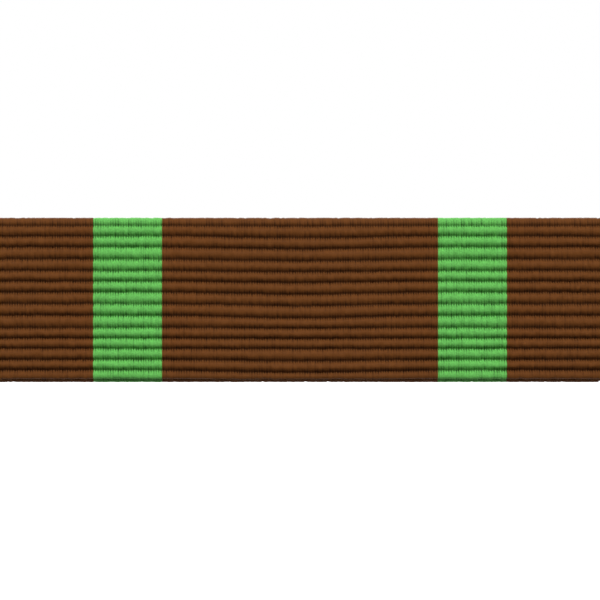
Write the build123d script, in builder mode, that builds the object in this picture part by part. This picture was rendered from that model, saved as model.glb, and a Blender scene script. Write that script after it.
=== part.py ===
from build123d import *
import os

# Undress ribbon bar of a service medal: a ribbed ribbon on a slide-on brass unit,
# a mounting bar with two nail posts, and two butterfly clutches with lever wings.
#
# Frame: the bar stands upright as it is worn. Seen from the front, +X is to the
# right, +Z is up, and +Y goes back into the cloth.
# The origin is the centre of the mounting bar's back face, which lies on the cloth.
# Millimetres throughout.

os.makedirs("parts", exist_ok=True)

# ---------------------------------------------------------------- ribbon unit
RIBBON_W = 34.925       # 1 3/8 in service ribbon, selvedge to selvedge
UNIT_H = 9.525          # 3/8 in, over the ribbon's top and bottom folds
RIBBON_T = 0.33         # cloth thickness, ribs levelled out
RIBBON_FRONT_Y = -2.35  # face of the ribbon
RIBBON_BACK_Y = -1.26   # back of the tucked ends
FOLD_R = 0.50           # outside radius of the ribbon's folds
TUCK_END_Z = 1.20       # the tucked ends stop this far from the centre line

CORE_W = 34.30
CORE_H = 8.78
CORE_T = 0.38
CORE_Y = -1.805         # middle of the core's thickness

CHANNEL_W = 34.20
CHANNEL_T = 0.35
CHANNEL_FRONT_Y = -1.25
CHANNEL_BACK_Y = CHANNEL_FRONT_Y + CHANNEL_T
CHANNEL_OUT_Z = 4.30    # half the height over the curled edges
LIP_BACK_Y = -0.02      # the lips end just in front of the cloth
LIP_IN_Z = 3.12         # the lips' free edges
BEAD_Z = 0.80           # half height of the bead's flat top
BEAD_D = 0.36           # how far the bead is pressed forward, onto the core

# ---------------------------------------------------------------- mounting bar
BAR_W = 34.00
BAR_T = 0.45
BAR_HALF_H = 3.90
FLANGE_BACK_Y = -0.41   # the two long edges are set forward of the cloth face
FLANGE_FRONT_Y = FLANGE_BACK_Y - BAR_T
FIELD_Z = 2.55          # half height of the flat back face
JOGGLE = 0.40           # height of the slope between field and edge
CORNER_C = 0.80         # lead-in on the four corners

# ---------------------------------------------------------------- nail posts
POST_X = 9.50           # posts stand this far each side of the middle
ROOT_R = 0.80           # the shouldered root in the bar
SHANK_R = 0.55
GROOVE_R = 0.38
TIP_R = 0.10
SHANK_END_Y = 7.20
TIP_Y = 8.30
GROOVES_Y = [(2.20, 2.80), (3.50, 4.05), (4.75, 5.30), (6.00, 6.55)]
HEAD_R = 1.40
HEAD_T = 0.25

# ---------------------------------------------------------------- clutch
DISC_Y0 = 2.35          # cloth side of the disc: room for about 2.2 mm of cloth
DISC_T = 0.35
DISC_R = 4.60
RIM_W = 0.42
RIM_Y = 3.25
EYELET_BORE_R = 0.63    # 0.08 mm round the shank
EYELET_R = 0.95
EYELET_FLANGE_R = 1.30
EYELET_FLANGE_T = 0.10
FLOOR_Y0 = DISC_Y0 + DISC_T
FLOOR_T = 0.25
YOKE_HALF_U = 2.10
CHEEK_IN_Z = 2.20
CHEEK_OUT_Z = 2.50
LUG_R = 0.75
PIVOT_U = 1.45          # pivots this far each side of the post
PIVOT_Y = 4.45
PIN_R = 0.28
PIN_HOLE_R = 0.30
KNUCKLE_R = 0.60
KNUCKLE_BORE_R = 0.33
KNUCKLE_HALF_L = 2.10
JAW_Y0 = 3.60
JAW_T = 0.35
JAW_HALF_W = 1.90
JAW_END_U = 0.04        # half the gap between the closed jaws
NOTCH_R = 0.58          # half-round mouth of each jaw
WING_T = 0.36
WING_L = 3.55           # pivot to tip
WING_ANGLE = 50.0       # above the disc
SPRING_T = 0.14
SPRING_HALF_W = 1.20
SPRING_MID_Y = 4.86
SPRING_END_U = 2.44
SPRING_END_Y = 6.07


# ================================================================ ribbon unit
# The ribbon: one strip of cloth round the core, open at the back between its tucked ends.
with BuildPart() as ribbon:
    with BuildSketch(Plane.YZ) as ribbon_section:
        ribbon_mid_y = (RIBBON_FRONT_Y + RIBBON_BACK_Y) / 2
        ribbon_depth = RIBBON_BACK_Y - RIBBON_FRONT_Y
        with Locations((ribbon_mid_y, 0)):
            RectangleRounded(ribbon_depth, UNIT_H, FOLD_R)
            RectangleRounded(
                ribbon_depth - 2 * RIBBON_T,
                UNIT_H - 2 * RIBBON_T,
                FOLD_R - RIBBON_T + 0.02,
                mode=Mode.SUBTRACT,
            )
        with Locations((RIBBON_BACK_Y - RIBBON_T / 2, 0)):
            Rectangle(RIBBON_T * 1.5, 2 * TUCK_END_Z, mode=Mode.SUBTRACT)
    extrude(amount=RIBBON_W / 2, both=True)
ribbon.part.label = "ribbon"

# The core: a flat strip with rolled long edges and eased corners.
with BuildPart() as ribbon_core:
    with BuildSketch(Plane.YZ) as core_section:
        with Locations((CORE_Y, 0)):
            RectangleRounded(CORE_T, CORE_H, CORE_T / 2 - 0.02)
    extrude(amount=CORE_W / 2, both=True)
ribbon_core.part.label = "ribbon_core"

# The channel: a strip with a bead pressed forward onto the core and both long edges
# curled back into lips that hold the mounting bar's edges.
with BuildPart() as ribbon_channel:
    with BuildSketch(Plane.YZ) as channel_section:
        with BuildLine() as channel_outline:
            upper = [
                (CHANNEL_FRONT_Y - BEAD_D + 0.01, BEAD_Z),
                (CHANNEL_FRONT_Y, BEAD_Z + 0.34),
                (CHANNEL_FRONT_Y, CHANNEL_OUT_Z),
                (LIP_BACK_Y, CHANNEL_OUT_Z),
                (LIP_BACK_Y, LIP_IN_Z),
                (LIP_BACK_Y - CHANNEL_T, LIP_IN_Z),
                (LIP_BACK_Y - CHANNEL_T, CHANNEL_OUT_Z - CHANNEL_T),
                (CHANNEL_BACK_Y, CHANNEL_OUT_Z - CHANNEL_T),
                (CHANNEL_BACK_Y, BEAD_Z + 0.20),
                (CHANNEL_BACK_Y - BEAD_D + 0.01, BEAD_Z - 0.14),
            ]
            lower = [(y, -z) for y, z in reversed(upper)]
            Polyline(*upper, *lower, close=True)
        make_face()
        outer_corners = channel_section.vertices().filter_by_position(
            Axis.Y, CHANNEL_OUT_Z - 0.01, CHANNEL_OUT_Z + 0.01
        ) + channel_section.vertices().filter_by_position(
            Axis.Y, -CHANNEL_OUT_Z - 0.01, -CHANNEL_OUT_Z + 0.01
        )
        fillet(outer_corners, 0.46)
        inner_z = CHANNEL_OUT_Z - CHANNEL_T
        inner_corners = channel_section.vertices().filter_by_position(
            Axis.Y, inner_z - 0.01, inner_z + 0.01
        ) + channel_section.vertices().filter_by_position(
            Axis.Y, -inner_z - 0.01, -inner_z + 0.01
        )
        fillet(inner_corners, 0.12)
        lip_ends = channel_section.vertices().filter_by_position(
            Axis.Y, LIP_IN_Z - 0.01, LIP_IN_Z + 0.01
        ) + channel_section.vertices().filter_by_position(
            Axis.Y, -LIP_IN_Z - 0.01, -LIP_IN_Z + 0.01
        )
        fillet(lip_ends, 0.14)
    extrude(amount=CHANNEL_W / 2, both=True)
    # the lips' four corners are cut away at a slant, so the bar enters easily
    with BuildSketch(Plane.XZ.offset(0.60)) as lead_in:
        for sx in (-1, 1):
            for sz in (-1, 1):
                with BuildLine():
                    Polyline(
                        (sx * (CHANNEL_W / 2 + 0.1), sz * (LIP_IN_Z - 0.1)),
                        (sx * (CHANNEL_W / 2 - 0.70), sz * (LIP_IN_Z - 0.1)),
                        (sx * (CHANNEL_W / 2 + 0.1), sz * (LIP_IN_Z + 0.62)),
                        close=True,
                    )
                make_face()
    extrude(amount=-0.80, mode=Mode.SUBTRACT)
ribbon_channel.part.label = "ribbon_channel"

# ================================================================ mounting bar
with BuildPart() as mounting_bar:
    with BuildSketch(Plane.YZ) as bar_section:
        with BuildLine() as bar_outline:
            bar_upper = [
                (0.0, FIELD_Z),
                (FLANGE_BACK_Y, FIELD_Z + JOGGLE),
                (FLANGE_BACK_Y, BAR_HALF_H),
                (FLANGE_FRONT_Y, BAR_HALF_H),
                (FLANGE_FRONT_Y, FIELD_Z + JOGGLE - 0.20),
                (-BAR_T, FIELD_Z - 0.20),
            ]
            bar_lower = [(y, -z) for y, z in reversed(bar_upper)]
            Polyline(*bar_upper, *bar_lower, close=True)
        make_face()
        edge_corners = bar_section.vertices().filter_by_position(
            Axis.Y, BAR_HALF_H - 0.01, BAR_HALF_H + 0.01
        ) + bar_section.vertices().filter_by_position(
            Axis.Y, -BAR_HALF_H - 0.01, -BAR_HALF_H + 0.01
        )
        fillet(edge_corners, 0.13)
    extrude(amount=BAR_W / 2, both=True)
    # lead-in corners
    with BuildSketch(Plane.XZ) as bar_corners:
        for sx in (-1, 1):
            for sz in (-1, 1):
                with BuildLine():
                    Polyline(
                        (sx * (BAR_W / 2 + 0.1), sz * (BAR_HALF_H + 0.1)),
                        (sx * (BAR_W / 2 - CORNER_C), sz * (BAR_HALF_H + 0.1)),
                        (sx * (BAR_W / 2 + 0.1), sz * (BAR_HALF_H - CORNER_C)),
                        close=True,
                    )
                make_face()
    extrude(amount=1.5, both=True, mode=Mode.SUBTRACT)
    # holes for the posts' roots
    with BuildSketch(Plane.XZ) as post_holes:
        with Locations((-POST_X, 0), (POST_X, 0)):
            Circle(ROOT_R + 0.01)
    extrude(amount=1.5, both=True, mode=Mode.SUBTRACT)
mounting_bar.part.label = "mounting_bar"

# ================================================================ nail posts
# Turned about an axis along Y: low head, shouldered root, grooved shank, point.
with BuildPart() as left_post:
    with BuildSketch(Plane.XY) as post_half:
        with BuildLine() as post_outline:
            px = -POST_X
            stations = [
                (0.0, -BAR_T - HEAD_T),
                (HEAD_R - 0.28, -BAR_T - HEAD_T),
                (HEAD_R, -BAR_T - 0.08),
                (HEAD_R, -BAR_T),
                (ROOT_R, -BAR_T),
                (ROOT_R, 0.0),
                (SHANK_R, 0.0),
            ]
            for g0, g1 in GROOVES_Y:
                stations += [
                    (SHANK_R, g0),
                    (GROOVE_R, g0 + 0.06),
                    (GROOVE_R, g1 - 0.06),
                    (SHANK_R, g1),
                ]
            stations += [
                (SHANK_R, SHANK_END_Y),
                (TIP_R, TIP_Y - 0.06),
                (0.0, TIP_Y),
            ]
            Polyline(*[(px + r, y) for r, y in stations], close=True)
        make_face()
    revolve(axis=Axis((-POST_X, 0, 0), (0, 1, 0)), revolution_arc=360)
left_post.part.label = "left_post"

with BuildPart() as right_post:
    mirror(left_post.part, about=Plane.YZ)
right_post.part.label = "right_post"

# Brazing: a small fillet ring round each head, on the bar's front.
with BuildPart() as post_brazing:
    for bx in (-POST_X, POST_X):
        with BuildSketch(Plane.XY) as braze_section:
            with BuildLine():
                Polyline(
                    (bx + HEAD_R + 0.01, -BAR_T),
                    (bx + HEAD_R + 0.24, -BAR_T),
                    (bx + HEAD_R + 0.11, -BAR_T - 0.05),
                    (bx + HEAD_R + 0.01, -BAR_T - 0.13),
                    close=True,
                )
            make_face()
        revolve(axis=Axis((bx, 0, 0), (0, 1, 0)), revolution_arc=360)
post_brazing.part.label = "post_brazing"

# ================================================================ left clutch
CX = -POST_X

# Base disc: flat pan with a rolled rim, a raised bead and four grip points.
with BuildPart() as left_clutch_disc:
    with BuildSketch(Plane.XY) as disc_half:
        with BuildLine() as disc_outline:
            y0, y1 = DISC_Y0, DISC_Y0 + DISC_T
            r_in, r_out = EYELET_R + 0.01, DISC_R
            Polyline(
                (CX + r_in, y0),
                (CX + 3.36, y0),
                (CX + 3.46, y0 + 0.10),
                (CX + 3.68, y0 + 0.10),
                (CX + 3.78, y0),
                (CX + r_out - 0.45, y0),
                (CX + r_out - 0.13, y0 + 0.13),
                (CX + r_out, y0 + 0.45),
                (CX + r_out, RIM_Y - 0.16),
                (CX + r_out - 0.07, RIM_Y - 0.04),
                (CX + r_out - RIM_W / 2, RIM_Y),
                (CX + r_out - RIM_W + 0.07, RIM_Y - 0.04),
                (CX + r_out - RIM_W, RIM_Y - 0.16),
                (CX + r_out - RIM_W, y1 + 0.14),
                (CX + r_out - RIM_W - 0.14, y1),
                (CX + 3.82, y1),
                (CX + 3.72, y1 + 0.10),
                (CX + 3.42, y1 + 0.10),
                (CX + 3.32, y1),
                (CX + r_in, y1),
                close=True,
            )
        make_face()
    revolve(axis=Axis((CX, 0, 0), (0, 1, 0)), revolution_arc=360)
    # grip points on the cloth side, between the bead and the eyelet
    for gu, gz in ((1.55, 1.55), (-1.55, 1.55), (1.55, -1.55), (-1.55, -1.55)):
        with BuildSketch(Plane.XZ.offset(-DISC_Y0)) as grip_base:
            with Locations((CX + gu, gz)):
                Circle(0.26)
        extrude(amount=0.20, taper=38)
left_clutch_disc.part.label = "left_clutch_disc"

# Yoke: floor and two cheeks of one bent strip, with a pair of pivot lugs on each cheek.
with BuildPart() as left_clutch_yoke:
    with BuildSketch(Plane.XY) as yoke_side:
        with Locations((CX, (FLOOR_Y0 + 3.75) / 2)):
            Rectangle(2 * YOKE_HALF_U, 3.75 - FLOOR_Y0)
        for su in (-1, 1):
            with Locations((CX + su * PIVOT_U, PIVOT_Y)):
                Circle(LUG_R)
            with Locations((CX + su * PIVOT_U, (3.5 + PIVOT_Y) / 2)):
                Rectangle(2 * LUG_R - 0.2, PIVOT_Y - 3.5)
    extrude(amount=CHEEK_OUT_Z, both=True)
    # the bends
    bends = (
        left_clutch_yoke.edges()
        .filter_by(Axis.X)
        .filter_by_position(Axis.Y, FLOOR_Y0 - 0.01, FLOOR_Y0 + 0.01)
    )
    fillet(bends, 0.32)
    # the space between the cheeks
    with BuildSketch(Plane.XY) as yoke_inside:
        with Locations((CX, FLOOR_Y0 + FLOOR_T + 2.0)):
            Rectangle(2 * YOKE_HALF_U + 1.0, 4.0)
    extrude(amount=CHEEK_IN_Z, both=True, mode=Mode.SUBTRACT)
    # pivot holes
    with BuildSketch(Plane.XY) as yoke_pivots:
        with Locations((CX - PIVOT_U, PIVOT_Y), (CX + PIVOT_U, PIVOT_Y)):
            Circle(PIN_HOLE_R)
    extrude(amount=CHEEK_OUT_Z + 1, both=True, mode=Mode.SUBTRACT)
    # eyelet hole
    with BuildSketch(Plane.XZ.offset(-FLOOR_Y0)) as yoke_eye:
        with Locations((CX, 0)):
            Circle(EYELET_R + 0.01)
    extrude(amount=1.0, both=True, mode=Mode.SUBTRACT)
left_clutch_yoke.part.label = "left_clutch_yoke"

# Eyelet: tubular rivet through disc and yoke, flared at both ends.
with BuildPart() as left_clutch_eyelet:
    with BuildSketch(Plane.XY) as eyelet_half:
        with BuildLine() as eyelet_outline:
            e0 = DISC_Y0 - EYELET_FLANGE_T
            e1 = FLOOR_Y0 + FLOOR_T + EYELET_FLANGE_T
            Polyline(
                (CX + EYELET_BORE_R + 0.14, e0),
                (CX + EYELET_FLANGE_R - 0.05, e0),
                (CX + EYELET_FLANGE_R, e0 + EYELET_FLANGE_T),
                (CX + EYELET_R, e0 + EYELET_FLANGE_T),
                (CX + EYELET_R, e1 - EYELET_FLANGE_T),
                (CX + EYELET_FLANGE_R, e1 - EYELET_FLANGE_T),
                (CX + EYELET_FLANGE_R - 0.05, e1),
                (CX + EYELET_BORE_R + 0.14, e1),
                (CX + EYELET_BORE_R, e1 - 0.14),
                (CX + EYELET_BORE_R, e0 + 0.14),
                close=True,
            )
        make_face()
    revolve(axis=Axis((CX, 0, 0), (0, 1, 0)), revolution_arc=360)
left_clutch_eyelet.part.label = "left_clutch_eyelet"

# Pivot pins: two plain pins, headed over outside the cheeks.
with BuildPart() as left_clutch_pivot_pins:
    with BuildSketch(Plane.XY) as pin_section:
        with Locations((CX - PIVOT_U, PIVOT_Y), (CX + PIVOT_U, PIVOT_Y)):
            Circle(PIN_R)
    extrude(amount=CHEEK_OUT_Z + 0.02, both=True)
    with BuildSketch(Plane.XY.offset(CHEEK_OUT_Z)) as head_top:
        with Locations((CX - PIVOT_U, PIVOT_Y), (CX + PIVOT_U, PIVOT_Y)):
            Circle(0.44)
    extrude(amount=0.16, taper=30)
    with BuildSketch(Plane.XY.offset(-CHEEK_OUT_Z)) as head_bottom:
        with Locations((CX - PIVOT_U, PIVOT_Y), (CX + PIVOT_U, PIVOT_Y)):
            Circle(0.44)
    extrude(amount=-0.16, taper=30)
left_clutch_pivot_pins.part.label = "left_clutch_pivot_pins"

# Outer wing: knuckle on the pivot, jaw below it, wing above it.
outer_pivot = Vector(CX - PIVOT_U, PIVOT_Y, 0)
wing_dir = Vector(-1, 0, 0).rotate(Axis.Z, -WING_ANGLE)
wing_normal = Vector(0, 0, 1).cross(wing_dir) * -1
with BuildPart() as left_clutch_outer_wing:
    with BuildSketch(Plane.XY) as knuckle:
        with Locations((outer_pivot.X, outer_pivot.Y)):
            Circle(KNUCKLE_R)
    extrude(amount=KNUCKLE_HALF_L, both=True)
    # jaw
    with BuildSketch(Plane.XY) as jaw:
        with Locations(
            (
                CX - (JAW_END_U + PIVOT_U + 0.28) / 2,
                JAW_Y0 + JAW_T / 2,
            )
        ):
            Rectangle(PIVOT_U + 0.28 - JAW_END_U, JAW_T)
        with Locations((CX - PIVOT_U, JAW_Y0 + JAW_T / 2 + 0.15)):
            Rectangle(0.56, JAW_T)
    extrude(amount=JAW_HALF_W, both=True)
    # wing blade: narrow at the root, flared and rounded at the tip
    with BuildSketch(
        Plane(origin=outer_pivot, x_dir=wing_dir, z_dir=wing_normal)
    ) as blade:
        with BuildLine():
            root = [(0.0, 1.90), (1.15, 1.90), (2.05, 2.75), (WING_L - 0.95, 3.00)]
            l1 = Polyline(*root)
            l2 = Spline(
                (WING_L - 0.95, 3.00),
                (WING_L - 0.17, 2.25),
                (WING_L, 0.0),
                (WING_L - 0.17, -2.25),
                (WING_L - 0.95, -3.00),
                tangents=((1, 0.05), (-1, 0.05)),
            )
            l3 = Polyline(*[(v, -z) for v, z in reversed(root)])
            l4 = Line((0.0, -1.90), (0.0, 1.90))
        make_face()
    extrude(amount=WING_T / 2, both=True)
    # three finger ridges across the blade's outer face
    for v in (2.15, 2.60, 3.05):
        ridge_at = outer_pivot + wing_dir * v - wing_normal * (WING_T / 2)
        with BuildSketch(Plane.XY) as ridge:
            with Locations((ridge_at.X, ridge_at.Y)):
                Circle(0.13)
        extrude(amount=2.10, both=True)
    # lanced stop above the spring's end, on the inner face
    stop_at = outer_pivot + wing_dir * 2.14 + wing_normal * (WING_T / 2 + 0.08)
    with BuildSketch(
        Plane(origin=stop_at, x_dir=wing_dir, z_dir=wing_normal)
    ) as stop:
        Rectangle(0.16, 1.0)
    extrude(amount=0.12, both=True)
    # pivot bore and the jaw's half-round mouth
    with BuildSketch(Plane.XY) as knuckle_bore:
        with Locations((outer_pivot.X, outer_pivot.Y)):
            Circle(KNUCKLE_BORE_R)
    extrude(amount=KNUCKLE_HALF_L + 1, both=True, mode=Mode.SUBTRACT)
    with BuildSketch(Plane.XZ.offset(-(JAW_Y0 - 0.2))) as mouth:
        with Locations((CX, 0)):
            Circle(NOTCH_R)
    extrude(amount=-(JAW_T + 0.45), mode=Mode.SUBTRACT)
left_clutch_outer_wing.part.label = "left_clutch_outer_wing"

# Inner wing: the same piece turned to face the other way across the post.
with BuildPart() as left_clutch_inner_wing:
    mirror(left_clutch_outer_wing.part, about=Plane.YZ.offset(CX))
left_clutch_inner_wing.part.label = "left_clutch_inner_wing"

# Bow spring: a thin strip round the post, its ends bearing on the wings.
with BuildPart() as left_clutch_spring:
    with BuildSketch(Plane.XY) as bow:
        with BuildLine() as bow_line:
            ThreePointArc(
                (CX - SPRING_END_U, SPRING_END_Y),
                (CX, SPRING_MID_Y),
                (CX + SPRING_END_U, SPRING_END_Y),
            )
            offset(amount=SPRING_T / 2, side=Side.BOTH, kind=Kind.ARC)
        make_face()
    extrude(amount=SPRING_HALF_W, both=True)
    with BuildSketch(Plane.XZ.offset(-SPRING_MID_Y)) as spring_eye:
        with Locations((CX, 0)):
            Circle(SHANK_R + 0.17)
    extrude(amount=1.0, both=True, mode=Mode.SUBTRACT)
left_clutch_spring.part.label = "left_clutch_spring"

# ================================================================ right clutch
# The right clutch is the left one mirrored across the bar's middle.
with BuildPart() as right_clutch_disc:
    mirror(left_clutch_disc.part, about=Plane.YZ)
right_clutch_disc.part.label = "right_clutch_disc"

with BuildPart() as right_clutch_yoke:
    mirror(left_clutch_yoke.part, about=Plane.YZ)
right_clutch_yoke.part.label = "right_clutch_yoke"

with BuildPart() as right_clutch_eyelet:
    mirror(left_clutch_eyelet.part, about=Plane.YZ)
right_clutch_eyelet.part.label = "right_clutch_eyelet"

with BuildPart() as right_clutch_pivot_pins:
    mirror(left_clutch_pivot_pins.part, about=Plane.YZ)
right_clutch_pivot_pins.part.label = "right_clutch_pivot_pins"

with BuildPart() as right_clutch_outer_wing:
    mirror(left_clutch_outer_wing.part, about=Plane.YZ)
right_clutch_outer_wing.part.label = "right_clutch_outer_wing"

with BuildPart() as right_clutch_inner_wing:
    mirror(left_clutch_inner_wing.part, about=Plane.YZ)
right_clutch_inner_wing.part.label = "right_clutch_inner_wing"

with BuildPart() as right_clutch_spring:
    mirror(left_clutch_spring.part, about=Plane.YZ)
right_clutch_spring.part.label = "right_clutch_spring"

# ================================================================ export
export_step(ribbon.part, "parts/ribbon.step")
export_step(ribbon_core.part, "parts/ribbon_core.step")
export_step(ribbon_channel.part, "parts/ribbon_channel.step")
export_step(mounting_bar.part, "parts/mounting_bar.step")
export_step(left_post.part, "parts/left_post.step")
export_step(right_post.part, "parts/right_post.step")
export_step(post_brazing.part, "parts/post_brazing.step")
export_step(left_clutch_disc.part, "parts/left_clutch_disc.step")
export_step(left_clutch_yoke.part, "parts/left_clutch_yoke.step")
export_step(left_clutch_eyelet.part, "parts/left_clutch_eyelet.step")
export_step(left_clutch_pivot_pins.part, "parts/left_clutch_pivot_pins.step")
export_step(left_clutch_outer_wing.part, "parts/left_clutch_outer_wing.step")
export_step(left_clutch_inner_wing.part, "parts/left_clutch_inner_wing.step")
export_step(left_clutch_spring.part, "parts/left_clutch_spring.step")
export_step(right_clutch_disc.part, "parts/right_clutch_disc.step")
export_step(right_clutch_yoke.part, "parts/right_clutch_yoke.step")
export_step(right_clutch_eyelet.part, "parts/right_clutch_eyelet.step")
export_step(right_clutch_pivot_pins.part, "parts/right_clutch_pivot_pins.step")
export_step(right_clutch_outer_wing.part, "parts/right_clutch_outer_wing.step")
export_step(right_clutch_inner_wing.part, "parts/right_clutch_inner_wing.step")
export_step(right_clutch_spring.part, "parts/right_clutch_spring.step")
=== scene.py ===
import math

import bpy
import numpy as np
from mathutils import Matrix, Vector


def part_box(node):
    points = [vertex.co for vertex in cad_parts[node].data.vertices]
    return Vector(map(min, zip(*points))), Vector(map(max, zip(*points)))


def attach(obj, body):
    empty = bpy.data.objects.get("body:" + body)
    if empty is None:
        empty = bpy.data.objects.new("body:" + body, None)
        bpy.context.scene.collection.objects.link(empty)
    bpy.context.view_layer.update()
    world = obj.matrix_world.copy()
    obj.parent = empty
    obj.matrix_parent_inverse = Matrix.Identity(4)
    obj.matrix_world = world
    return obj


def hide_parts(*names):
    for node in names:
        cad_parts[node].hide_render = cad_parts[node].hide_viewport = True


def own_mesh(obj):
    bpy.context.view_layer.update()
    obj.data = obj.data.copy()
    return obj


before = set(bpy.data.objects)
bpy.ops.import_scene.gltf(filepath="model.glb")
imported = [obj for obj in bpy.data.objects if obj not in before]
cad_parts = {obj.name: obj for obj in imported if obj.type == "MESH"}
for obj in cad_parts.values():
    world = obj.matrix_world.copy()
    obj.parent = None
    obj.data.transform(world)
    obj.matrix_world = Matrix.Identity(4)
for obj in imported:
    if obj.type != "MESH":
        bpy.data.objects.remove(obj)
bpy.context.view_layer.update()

MM = 0.001
scene = bpy.context.scene


# ------------------------------------------------------------------ camera
def make_camera():
    """Square on to the ribbon, which spans the view from side to side."""
    lo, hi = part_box("ribbon")
    cam = bpy.data.cameras.new("camera")
    cam.lens = 200
    cam.sensor_width = 36
    cam.clip_start, cam.clip_end = 0.001, 5
    obj = bpy.data.objects.new("camera", cam)
    scene.collection.objects.link(obj)
    width = (hi.x - lo.x) * 0.990
    distance = width / 2 / (cam.sensor_width / 2 / cam.lens)
    obj.location = (0, lo.y - distance, 0)
    obj.rotation_euler = (math.radians(90), 0, 0)
    scene.camera = obj


make_camera()


# ------------------------------------------------------------------ node helpers
class Tree:
    """A short way to write a material's nodes."""

    def __init__(self, name):
        self.mat = bpy.data.materials.new(name)
        self.mat.use_nodes = True
        self.nt = self.mat.node_tree
        self.nt.nodes.clear()
        self.out = self.nt.nodes.new("ShaderNodeOutputMaterial")
        self.bsdf = self.nt.nodes.new("ShaderNodeBsdfPrincipled")
        self.link(self.bsdf.outputs[0], self.out.inputs[0])

    def node(self, kind, **values):
        n = self.nt.nodes.new(kind)
        for k, v in values.items():
            setattr(n, k, v)
        return n

    def link(self, a, b):
        self.nt.links.new(a, b)

    def put(self, socket, value):
        if isinstance(value, bpy.types.NodeSocket):
            self.link(value, socket)
        else:
            socket.default_value = value

    def math(self, op, a, b=None, c=None, clamp=False):
        n = self.node("ShaderNodeMath", operation=op, use_clamp=clamp)
        for i, v in enumerate((a, b, c)):
            if v is not None:
                self.put(n.inputs[i], v)
        return n.outputs[0]

    def mix(self, fac, a, b):
        n = self.node("ShaderNodeMix", data_type="RGBA")
        self.put(n.inputs[0], fac)
        self.put(n.inputs[6], a)
        self.put(n.inputs[7], b)
        return n.outputs[2]

    def ramp(self, fac, stops):
        n = self.node("ShaderNodeValToRGB")
        e = n.color_ramp.elements
        while len(e) < len(stops):
            e.new(0.5)
        for i, (p, c) in enumerate(stops):
            e[i].position = p
            e[i].color = c if len(c) == 4 else (*c, 1)
        self.put(n.inputs[0], fac)
        return n.outputs[0]

    def level(self, fac, lo0, hi0, lo1, hi1):
        n = self.node("ShaderNodeMapRange")
        self.put(n.inputs[0], fac)
        for i, v in enumerate((lo0, hi0, lo1, hi1)):
            self.put(n.inputs[i + 1], v)
        return n.outputs[0]

    def noise(self, vector, scale, detail=3.0, rough=0.55):
        n = self.node("ShaderNodeTexNoise")
        self.put(n.inputs["Vector"], vector)
        n.inputs["Scale"].default_value = scale
        n.inputs["Detail"].default_value = detail
        n.inputs["Roughness"].default_value = rough
        return n.outputs[0]

    def scaled(self, vector, scale):
        n = self.node("ShaderNodeMapping")
        self.put(n.inputs["Vector"], vector)
        n.inputs["Scale"].default_value = scale
        return n.outputs[0]

    def bump(self, height, strength, distance, normal=None):
        n = self.node("ShaderNodeBump")
        n.inputs["Strength"].default_value = strength
        n.inputs["Distance"].default_value = distance
        self.put(n.inputs["Height"], height)
        if normal is not None:
            self.put(n.inputs["Normal"], normal)
        return n.outputs[0]


def srgb(r, g, b):
    return tuple(
        c / 12.92 if c <= 0.04045 else ((c + 0.055) / 1.055) ** 2.4
        for c in (r / 255, g / 255, b / 255)
    ) + (1.0,)


# ------------------------------------------------------------------ ribbon mesh
R_LO, R_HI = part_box("ribbon")
HALF_W = (R_HI.x - R_LO.x) / 2 / MM
FOLD_R = (R_HI.y - R_LO.y) / 2 / MM
MID_Y = (R_HI.y + R_LO.y) / 2 / MM
FLAT_Z = R_HI.z / MM - FOLD_R
CLOTH_T = 0.33
TUCK_Z = 1.20
HALF_S = FLAT_Z + math.pi * FOLD_R + (FLAT_Z - TUCK_Z)
WARPS = 240
STRIPE_IN, STRIPE_OUT = 7.955, 11.93


def on_path(s, depth):
    """(y, z) in mm of the point at arc length s along the ribbon's outside, depth mm in."""
    a = np.abs(s)
    sign = np.where(s < 0, 1.0, -1.0)
    fold = np.clip((a - FLAT_Z) / FOLD_R, 0, math.pi)
    r = FOLD_R - depth
    y = MID_Y - r * np.cos(fold)
    flat = np.minimum(a, FLAT_Z)
    back = np.maximum(a - FLAT_Z - math.pi * FOLD_R, 0)
    z = sign * (flat - back + r * np.sin(fold))
    return y, z


def wave(x, seed, size, waves=5, longest=30.0):
    """A smooth uneven line over x, the same on both sides of the middle."""
    r = np.random.default_rng(seed)
    u = np.abs(x)
    out = np.zeros_like(x)
    for k in range(waves):
        length = longest / (1.0 + 1.3 * k) * r.uniform(0.8, 1.2)
        out += r.normal() * np.cos(2 * math.pi * u / length + r.uniform(0, 6.28)) / (1 + 0.6 * k)
    return size * out / 1.8


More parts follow.
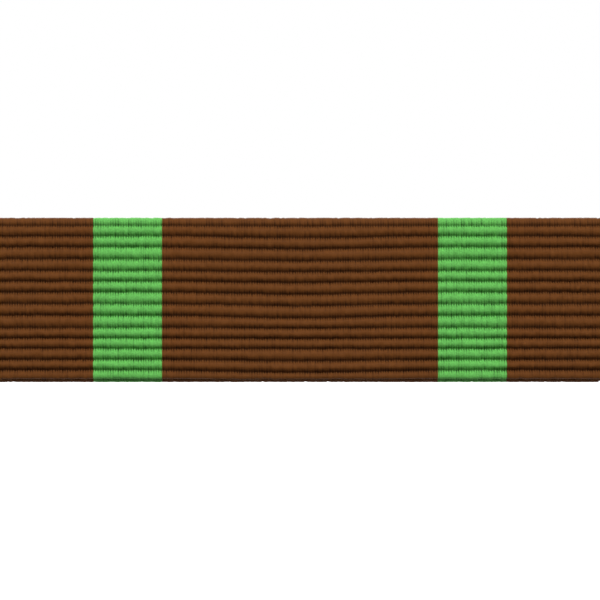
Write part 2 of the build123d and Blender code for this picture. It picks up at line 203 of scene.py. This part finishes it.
def make_ribbon():
    rng = np.random.default_rng(11)
    pitch = 2 * HALF_W / WARPS
    # the warp threads are not all one width
    joins = np.arange(WARPS + 1) * pitch - HALF_W
    joins[1:-1] += rng.normal(0, 0.014, WARPS - 1)
    joins = np.sort(joins)
    cols = np.empty(2 * WARPS + 1)
    cols[0::2] = joins
    cols[1::2] = (joins[:-1] + joins[1:]) / 2
    n = len(cols)
    between = (np.arange(n) % 2 == 0).astype(float)  # 1 where two warp threads meet
    # the ribs' furrows, down the front from the top edge, and on round both folds
    front = [-5.36, -4.315, -3.68, -3.055, -2.35, -1.69, -1.08, -0.452, 0.224, 0.89, 1.605, 2.20, 2.80, 3.435, 4.04, 4.83]
    sags = [0.0, 0.045, 0.09, 0.13, 0.11, 0.085, 0.085, 0.13, 0.125, 0.16, 0.025, 0.035, 0.025, 0.10, 0.13, 0.0]
    furrows = list(front)
    s = front[0]
    while s - 0.64 > -HALF_S:
        s -= 0.64 + rng.uniform(-0.03, 0.03)
        furrows.insert(0, s)
        sags.insert(0, 0.04)
    s = front[-1]
    while s + 0.64 < HALF_S:
        s += 0.64 + rng.uniform(-0.03, 0.03)
        furrows.append(s)
        sags.append(0.04)
    warp_shift = rng.normal(0, 0.010, (len(furrows), WARPS + 1))
    fall_size = np.repeat(rng.uniform(0.6, 1.3, (len(furrows), WARPS + 1)), 2, axis=1)[:, :n]
    tooth_size = np.repeat(rng.uniform(0.5, 1.4, (len(furrows), WARPS + 1)), 2, axis=1)[:, :n]
    warp_lead = rng.normal(0, 0.055, (len(furrows), WARPS + 1))
    lines, deep = [], []
    for i, (s0, sag) in enumerate(zip(furrows, sags)):
        bowl = sag * np.exp(-(cols / 5.0) ** 2)
        jit = np.repeat(warp_shift[i], 2)[:n]
        lines.append(s0 + bowl + wave(cols, 100 + i, 0.016, waves=7, longest=16) + jit)
        size = 0.225 + rng.uniform(-0.025, 0.025)
        deep.append(np.clip(size + wave(cols, 300 + i, 0.02, longest=14), 0.15, 0.27))
    warp_high = np.repeat(rng.normal(0, 0.004, WARPS + 1), 2)[:n]

    rows_s, rows_g, rows_shade = [], [], []

    def row(s_line, g_line, painted_furrow_shade):
        rows_s.append(s_line)
        rows_g.append(g_line)
        rows_shade.append(np.full(n, painted_furrow_shade) if np.isscalar(painted_furrow_shade) else painted_furrow_shade)

    # a rib's section from one furrow to the next: a short steep upper side, a broad
    # top and a longer slope below, where the warp dives back under the next rib
    part_p = [0.0, 0.05, 0.11, 0.18, 0.28, 0.40, 0.54, 0.60, 0.68, 0.78, 0.88, 0.95, 1.0]
    part_g = [1.0, 0.70, 0.36, 0.15, 0.04, 0.00, 0.01, 0.05, 0.15, 0.31, 0.50, 0.76, 1.0]

    def profile(p):
        return np.interp(p, part_p, part_g)

    fine = [0.0, 0.06, 0.15, 0.30, 0.54, 0.63, 0.78, 0.92]
    coarse = [0.0, 0.12, 0.5, 0.88]
    # cut end at the top tuck
    ends = [np.full(n, -HALF_S), np.full(n, HALF_S)]
    row(ends[0], np.full(n, 0.05), 0.3)
    for i in range(len(furrows) - 1):
        on_front = -FLAT_Z - 0.7 < (furrows[i] + furrows[i + 1]) / 2 < FLAT_Z + 0.7
        for p in fine if on_front else coarse:
            s_line = lines[i] * (1 - p) + lines[i + 1] * p
            d = deep[i] * (1 - p) + deep[i + 1] * p
            # every warp thread starts down into the furrow at a place of its own
            lead = np.repeat(warp_lead[i], 2)[:n] * min(1.0, p / 0.6) * (1 - p) / 0.4
            base = profile(np.clip(p + lead, 0, 1))
            # painted shade: the cloth's colour is darkened near each furrow, where shade falls, and this
            # darkening runs further out between the threads than along them
            upper = np.where(between > 0, 0.21, 0.03) * tooth_size[i]
            lower = np.where(between > 0, 0.30, 0.14) * fall_size[i]
            painted_shade = np.exp(-(p / upper) ** 2) + np.exp(-((1 - p) / lower) ** 2)
            painted_shade = painted_shade * np.where(between > 0, 1.20, 0.68) * (0.5 + 0.5 * fall_size[i])
            g = d * base
            # threads show as fine ridges, and fill the furrow where they cross it
            tooth = math.exp(-((p - 0.08) / 0.09) ** 2) + 0.5 * math.exp(-((1 - p) / 0.15) ** 2)
            g = g + between * (0.003 + 0.12 * tooth) - (1 - between) * 0.065 * tooth * base
            g = g + warp_high * (1 - base)
            s_line = s_line + between * 0.045 * math.exp(-((p - 0.05) / 0.10) ** 2)
            row(s_line, np.maximum(g, 0.0), painted_shade)
    row(lines[-1], deep[-1] * 0.9, 1.0)
    row(ends[1], np.full(n, 0.05), 0.3)
    S = np.array(rows_s)
    G = np.array(rows_g)
    F = np.array(rows_shade)
    # keep the rows in order where a furrow comes near a cut end
    S = np.maximum.accumulate(S, axis=0)
    S = np.clip(S, -HALF_S, HALF_S)
    # the selvedges: the cloth rounds off over its last quarter millimetre
    edge = np.clip(1 - (HALF_W - np.abs(cols)) / 0.16, 0, 1)
    G = G + 0.06 * edge ** 2.2 * np.where(np.abs(S) > FLAT_Z, 0.25, 1.0)
    inner = np.full(n, CLOTH_T) - 0.10 * edge ** 2.2
    inner_s = np.concatenate([
        np.linspace(-HALF_S, -FLAT_Z - math.pi * FOLD_R, 3)[:-1],
        np.linspace(-FLAT_Z - math.pi * FOLD_R, -FLAT_Z, 8)[:-1],
        np.linspace(-FLAT_Z, FLAT_Z, 7)[:-1],
        np.linspace(FLAT_Z, FLAT_Z + math.pi * FOLD_R, 8)[:-1],
        np.linspace(FLAT_Z + math.pi * FOLD_R, HALF_S, 3),
    ])
    m, k = len(S), len(inner_s)
    y, z = on_path(S, G)
    outer_co = np.stack([np.broadcast_to(cols, S.shape), y, z], axis=-1).reshape(-1, 3)
    yi, zi = on_path(inner_s[:, None] * np.ones(n), inner[None, :] * np.ones((k, 1)))
    inner_co = np.stack([np.broadcast_to(cols, yi.shape), yi, zi], axis=-1).reshape(-1, 3)
    co = np.concatenate([outer_co, inner_co]) * MM
    uv = np.concatenate([
        np.stack([np.broadcast_to(cols, S.shape), S], axis=-1).reshape(-1, 2),
        np.stack([np.broadcast_to(cols, yi.shape), inner_s[:, None] * np.ones(n)], axis=-1).reshape(-1, 2),
    ])
    # the inside of the cloth gets an even amount of the painted furrow shade
    painted_furrow_shade = np.concatenate([F.reshape(-1), np.full(k * n, 0.25)])
    depth = np.concatenate([G.reshape(-1), np.full(k * n, 0.1)])

    faces = []
    for a in range(m - 1):
        for c in range(n - 1):
            i = a * n + c
            faces.append((i, i + n, i + n + 1, i + 1))
    base = m * n
    for a in range(k - 1):
        for c in range(n - 1):
            i = base + a * n + c
            faces.append((i, i + 1, i + n + 1, i + n))
    # cut ends
    for c in range(n - 1):
        faces.append((c, c + 1, base + c + 1, base + c))
        o, q = (m - 1) * n + c, base + (k - 1) * n + c
        faces.append((o, q, q + 1, o + 1))
    # selvedges: a strip of triangles between the outside's and the inside's edge
    for c, flip in ((0, False), (n - 1, True)):
        a = b = 0
        while a < m - 1 or b < k - 1:
            step_a = b == k - 1 or (a < m - 1 and S[a + 1, c] <= inner_s[b + 1] + 1e-9)
            i, j = a * n + c, base + b * n + c
            if step_a:
                f = (i, j, (a + 1) * n + c)
                a += 1
            else:
                f = (i, j, base + (b + 1) * n + c)
                b += 1
            faces.append(f[::-1] if flip else f)
    mesh = bpy.data.meshes.new("ribbon_cloth")
    mesh.from_pydata(co.tolist(), [], faces)
    mesh.validate()
    layer = mesh.uv_layers.new(name="thread")
    loops = np.zeros(len(mesh.loops), np.int32)
    mesh.loops.foreach_get("vertex_index", loops)
    layer.data.foreach_set("uv", (uv[loops]).astype(np.float32).ravel())
    # the painted furrow shade is stored for the material, which darkens the cloth's colour with it; the rib
    # depth is stored beside it
    for name, values in (("painted_furrow_shade", painted_furrow_shade), ("sunk", depth)):
        att = mesh.attributes.new(name, "FLOAT", "POINT")
        att.data.foreach_set("value", values.astype(np.float32))
    mesh.shade_smooth()
    obj = bpy.data.objects.new("ribbon_cloth", mesh)
    scene.collection.objects.link(obj)
    return obj


# ------------------------------------------------------------------ ribbon material
def ribbon_material():
    t = Tree("ribbed_ribbon")
    uv = t.node("ShaderNodeUVMap", uv_map="thread").outputs[0]
    split = t.node("ShaderNodeSeparateXYZ")
    t.link(uv, split.inputs[0])
    x = t.math("ABSOLUTE", split.outputs[0])
    stripe = t.math(
        "MULTIPLY",
        t.math("GREATER_THAN", x, STRIPE_IN),
        t.math("LESS_THAN", x, STRIPE_OUT),
    )
    # each warp thread takes the dye a little differently
    thread = t.noise(t.scaled(uv, (6.9, 0.16, 1)), 1.0, 1.0, 0.5)
    cloud = t.noise(t.scaled(uv, (0.35, 0.9, 1)), 1.0, 3.0, 0.6)
    grain = t.noise(t.scaled(uv, (11.0, 9.0, 1)), 1.0, 3.0, 0.7)
    brown = t.mix(
        t.level(thread, 0.3, 0.7, 0, 1), srgb(115, 67, 27), srgb(119, 70, 29)
    )
    green = t.mix(
        t.level(thread, 0.3, 0.7, 0, 1), srgb(114, 205, 97), srgb(117, 208, 101)
    )
    colour = t.mix(stripe, brown, green)
    shade = t.math(
        "ADD",
        t.level(cloud, 0.25, 0.75, -0.05, 0.05),
        t.math(
            "MULTIPLY",
            t.level(grain, 0.38, 0.62, -1, 1),
            t.math("ADD", 0.07, t.math("MULTIPLY", stripe, 0.05)),
        ),
    )
    # painted shade: the colour is darkened down in the furrows between the ribs, where shade falls
    painted_furrow_shade = t.node("ShaderNodeAttribute", attribute_name="painted_furrow_shade").outputs["Fac"]
    deep = t.math("MULTIPLY", painted_furrow_shade, -0.64)
    gain = t.math("ADD", t.math("ADD", 1.0, shade), deep)
    # a few slubs: pale specks of loose fibre
    vor = t.node("ShaderNodeTexVoronoi")
    t.link(t.scaled(uv, (1.1, 1.1, 1)), vor.inputs["Vector"])
    vor.inputs["Scale"].default_value = 1.0
    fleck = t.math("LESS_THAN", vor.outputs["Distance"], 0.055)
    gain = t.math("ADD", gain, t.math("MULTIPLY", fleck, 0.22))
    scale = t.node("ShaderNodeVectorMath", operation="SCALE")
    t.link(colour, scale.inputs[0])
    t.link(gain, scale.inputs["Scale"])
    t.link(scale.outputs[0], t.bsdf.inputs["Base Color"])
    fibres = t.math(
        "ADD",
        t.math("MULTIPLY", t.noise(t.scaled(uv, (28.0, 2.4, 1)), 1.0, 4.0, 0.65), 0.7),
        t.math("MULTIPLY", grain, 0.3),
    )
    t.link(t.bump(fibres, 0.55, 0.03 * MM), t.bsdf.inputs["Normal"])
    t.link(t.level(grain, 0.2, 0.8, 0.62, 0.82), t.bsdf.inputs["Roughness"])
    t.bsdf.inputs["Specular IOR Level"].default_value = 0.12
    t.bsdf.inputs["Sheen Weight"].default_value = 0.03
    t.bsdf.inputs["Sheen Roughness"].default_value = 0.4
    return t.mat


# ------------------------------------------------------------------ metals
def metal(name, colour, dark, rough=(0.22, 0.38), lines=(0.6, 14.0, 14.0), tarnish=0.5, scratch=0.35):
    """Worked metal: grain drawn along `lines`, cloudy tarnish, fine scratches and softened edges."""
    t = Tree(name)
    at = t.scaled(t.node("ShaderNodeTexCoord").outputs["Object"], (1000, 1000, 1000))
    grain = t.noise(t.scaled(at, lines), 1.0, 4.0, 0.6)
    cloud = t.noise(at, 0.45, 4.0, 0.6)
    spots = t.noise(at, 2.6, 5.0, 0.7)
    stain = t.level(t.math("ADD", t.math("MULTIPLY", cloud, 0.6), t.math("MULTIPLY", spots, 0.4)), 0.50, 0.68, 0, tarnish)
    t.link(t.mix(stain, colour, dark), t.bsdf.inputs["Base Color"])
    t.bsdf.inputs["Metallic"].default_value = 1.0
    r = t.math("ADD", t.level(grain, 0.3, 0.7, rough[0], rough[1]), t.math("MULTIPLY", stain, 0.22))
    t.link(r, t.bsdf.inputs["Roughness"])
    soft = t.node("ShaderNodeBevel", samples=4)
    soft.inputs["Radius"].default_value = 0.035 * MM
    marks = t.math("ADD", t.math("MULTIPLY", grain, scratch), t.math("MULTIPLY", spots, 0.25))
    t.link(t.bump(marks, 0.35, 0.02 * MM, soft.outputs[0]), t.bsdf.inputs["Normal"])
    return t.mat


BRASS = srgb(214, 180, 112)
BRASS_DARK = srgb(138, 96, 44)
NICKEL = srgb(196, 192, 184)

finishes = {
    "unit": metal("drawn_brass", BRASS, BRASS_DARK, (0.24, 0.40), (0.5, 16, 16), 0.45),
    "bar": metal("stamped_brass", srgb(208, 172, 106), BRASS_DARK, (0.26, 0.44), (0.7, 12, 12), 0.6),
    "post": metal("turned_brass", srgb(216, 184, 122), BRASS_DARK, (0.16, 0.30), (14, 3, 14), 0.3),
    "braze": metal("braze", srgb(176, 168, 150), srgb(96, 84, 66), (0.45, 0.60), (6, 6, 6), 0.7),
    "clutch": metal("tumbled_brass", srgb(218, 186, 118), BRASS_DARK, (0.20, 0.34), (5, 5, 5), 0.45),
    "wing": metal("wing_brass", srgb(220, 188, 120), BRASS_DARK, (0.18, 0.32), (9, 9, 1.2), 0.4),
    "pin": metal("pin_steel", NICKEL, srgb(110, 106, 100), (0.2, 0.32), (10, 10, 2), 0.3),
    "spring": metal("spring_steel", srgb(150, 152, 158), srgb(70, 74, 92), (0.2, 0.34), (1.5, 1.5, 12), 0.6),
}
GROUP = {
    "ribbon_core": "unit", "ribbon_channel": "unit", "mounting_bar": "bar",
    "left_post": "post", "right_post": "post", "post_brazing": "braze",
}
for side in ("left", "right"):
    GROUP[f"{side}_clutch_disc"] = "clutch"
    GROUP[f"{side}_clutch_yoke"] = "clutch"
    GROUP[f"{side}_clutch_eyelet"] = "clutch"
    GROUP[f"{side}_clutch_pivot_pins"] = "pin"
    GROUP[f"{side}_clutch_outer_wing"] = "wing"
    GROUP[f"{side}_clutch_inner_wing"] = "wing"
    GROUP[f"{side}_clutch_spring"] = "spring"

for name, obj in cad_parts.items():
    if name not in GROUP:
        continue
    obj.data.materials.clear()
    obj.data.materials.append(finishes[GROUP[name]])
    if GROUP[name] in ("bar", "post", "braze"):
        continue  # the CAD's own normals shade these best; the material rounds their edges
    weld = obj.modifiers.new("weld", "WELD")
    weld.merge_threshold = 0.0005 * MM
    bevel = obj.modifiers.new("broken_edges", "BEVEL")
    bevel.width = 0.035 * MM
    bevel.segments = 2
    bevel.limit_method = "ANGLE"
    bevel.angle_limit = math.radians(40)
    bevel.harden_normals = True
    bevel.use_clamp_overlap = True

# The real bow springs give as the wings close on them; each is copied into a piece of its own that rides with
# its clutch.
for side, x in (("left", -0.0095), ("right", 0.0095)):
    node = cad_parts[f"{side}_clutch_spring"]
    bow = bpy.data.objects.new(f"{side}_bow_spring", node.data.copy())
    scene.collection.objects.link(bow)
    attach(bow, f"{side}_clutch")
    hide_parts(f"{side}_clutch_spring")
    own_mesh(bow)

cloth = make_ribbon()
cloth.data.materials.append(ribbon_material())
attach(cloth, "ribbon_unit")
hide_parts("ribbon")


# ------------------------------------------------------------------ floor, light, world
def make_stage():
    mesh = bpy.data.meshes.new("floor")
    z = -0.025
    n = 24
    verts, faces = [], []
    for i in range(n + 1):
        for j in range(n + 1):
            verts.append(((i / n - 0.5) * 3.2, -1.6 + 2.9 * j / n, z))
    for i in range(n):
        for j in range(n):
            a = i * (n + 1) + j
            faces.append((a, a + n + 1, a + n + 2, a + 1))
    mesh.from_pydata(verts, [], faces)
    floor = bpy.data.objects.new("floor", mesh)
    scene.collection.objects.link(floor)
    t = Tree("floor_paper")
    t.bsdf.inputs["Base Color"].default_value = (0.93, 0.93, 0.93, 1)
    t.bsdf.inputs["Roughness"].default_value = 0.9
    t.bsdf.inputs["Specular IOR Level"].default_value = 0.1
    t.bsdf.inputs["Emission Color"].default_value = (1, 1, 1, 1)
    t.bsdf.inputs["Emission Strength"].default_value = 0.30
    mesh.materials.append(t.mat)
    floor.visible_diffuse = False  # the floor throws no light back up at the cloth


def area(name, place, aim, size, power, colour=(1, 1, 1)):
    light = bpy.data.lights.new(name, "AREA")
    light.shape = "RECTANGLE"
    light.size, light.size_y = size
    light.energy = power
    light.color = colour
    obj = bpy.data.objects.new(name, light)
    obj.location = place
    obj.rotation_euler = (Vector(aim) - Vector(place)).to_track_quat("-Z", "Y").to_euler()
    scene.collection.objects.link(obj)
    return obj


make_stage()
area("key", (0, -0.36, 0.31), (0, 0, 0), (0.22, 0.10), 1.88)
area("rear", (0, 0.95, 0.35), (0, 0.90, -0.025), (1.6, 0.9), 10.5)

world = bpy.data.worlds.new("studio")
world.use_nodes = True
scene.world = world
nt = world.node_tree
nt.nodes.clear()
wout = nt.nodes.new("ShaderNodeOutputWorld")
wbg = nt.nodes.new("ShaderNodeBackground")
wtc = nt.nodes.new("ShaderNodeTexCoord")
wsep = nt.nodes.new("ShaderNodeSeparateXYZ")
wmap = nt.nodes.new("ShaderNodeMapRange")
wramp = nt.nodes.new("ShaderNodeValToRGB")
nt.links.new(wtc.outputs["Generated"], wsep.inputs[0])
nt.links.new(wsep.outputs["Y"], wmap.inputs[0])
wmap.inputs[1].default_value = -1.0
wmap.inputs[2].default_value = 1.0
wramp.color_ramp.elements[0].position = 0.46
wramp.color_ramp.elements[0].color = (0.12, 0.12, 0.12, 1)
wramp.color_ramp.elements[1].position = 0.80
wramp.color_ramp.elements[1].color = (1, 1, 1, 1)
nt.links.new(wmap.outputs[0], wramp.inputs[0])
wpath = nt.nodes.new("ShaderNodeLightPath")
wmix = nt.nodes.new("ShaderNodeMix")
wmix.data_type = "RGBA"
wmix.inputs[7].default_value = (1, 1, 1, 1)
nt.links.new(wpath.outputs["Is Camera Ray"], wmix.inputs[0])
nt.links.new(wramp.outputs[0], wmix.inputs[6])
nt.links.new(wmix.outputs[2], wbg.inputs[0])
wbg.inputs[1].default_value = 1.0
nt.links.new(wbg.outputs[0], wout.inputs[0])

scene.view_settings.view_transform = "Standard"
scene.view_settings.look = "None"
scene.view_settings.exposure = 0.0
